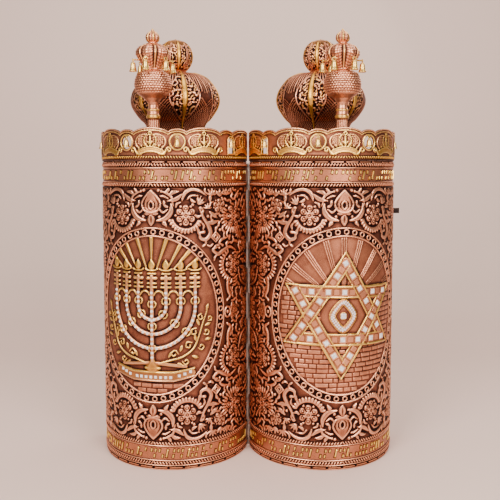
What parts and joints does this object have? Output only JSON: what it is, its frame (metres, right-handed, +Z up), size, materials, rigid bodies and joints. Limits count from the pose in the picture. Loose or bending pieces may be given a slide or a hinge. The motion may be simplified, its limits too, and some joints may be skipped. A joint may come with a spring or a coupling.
{
  "type": "torah case",
  "caption": "Open hinged two-part case of embossed copper for a scroll, with crown galleries, half domes, finials and bells.",
  "frame": {"origin": "middle of the underside of the open case", "axes": "+Z up, the hinge seam and the two embossed panels face -Y"},
  "size_m": [0.5868, 0.1962, 0.791],
  "materials": {
    "case": "embossed copper, antiqued dark in the hollows",
    "gallery": "embossed copper with gilt ornament",
    "dome": "embossed copper with gilt ribs",
    "finial": "embossed copper with gilt rings",
    "bell": "polished pale gold plate",
    "hinge": "satin nickel",
    "latch": "blackened iron"
  },
  "bodies": {
    "left_half": {"left_case": "case", "left_gallery": "gallery", "left_dome": "dome", "left_finial": "finial", "left_finial_bell_1": "bell", "left_finial_bell_2": "bell", "left_finial_bell_3": "bell", "left_finial_bell_4": "bell", "left_finial_bell_5": "bell", "left_finial_bell_6": "bell", "left_window_bell_1": "bell", "left_window_bell_2": "bell", "left_window_bell_3": "bell", "left_window_bell_4": "bell", "left_hinge_leaf": "hinge", "hinge_pin": "hinge", "latch_catch": "latch"},
    "right_half": {"right_case": "case", "right_gallery": "gallery", "right_dome": "dome", "right_finial": "finial", "right_finial_bell_1": "bell", "right_finial_bell_2": "bell", "right_finial_bell_3": "bell", "right_finial_bell_4": "bell", "right_finial_bell_5": "bell", "right_finial_bell_6": "bell", "right_window_bell_1": "bell", "right_window_bell_2": "bell", "right_window_bell_3": "bell", "right_window_bell_4": "bell", "right_hinge_leaf": "hinge", "latch_plate": "latch"},
    "latch": {"latch_strap": "latch"}
  },
  "joints": [
    {"name": "case_hinge", "type": "hinge", "parent": "left_half", "child": "right_half", "pos_m": [-0.00938, 0.03252, 0], "axis": [0, 0, 1], "range_deg": [-20, 155]},
    {"name": "latch_hinge", "type": "hinge", "parent": "right_half", "child": "latch", "pos_m": [0.27474, 0.08988, 0.459], "axis": [0, 0, 1], "range_deg": [-85, 90]}
  ]
}
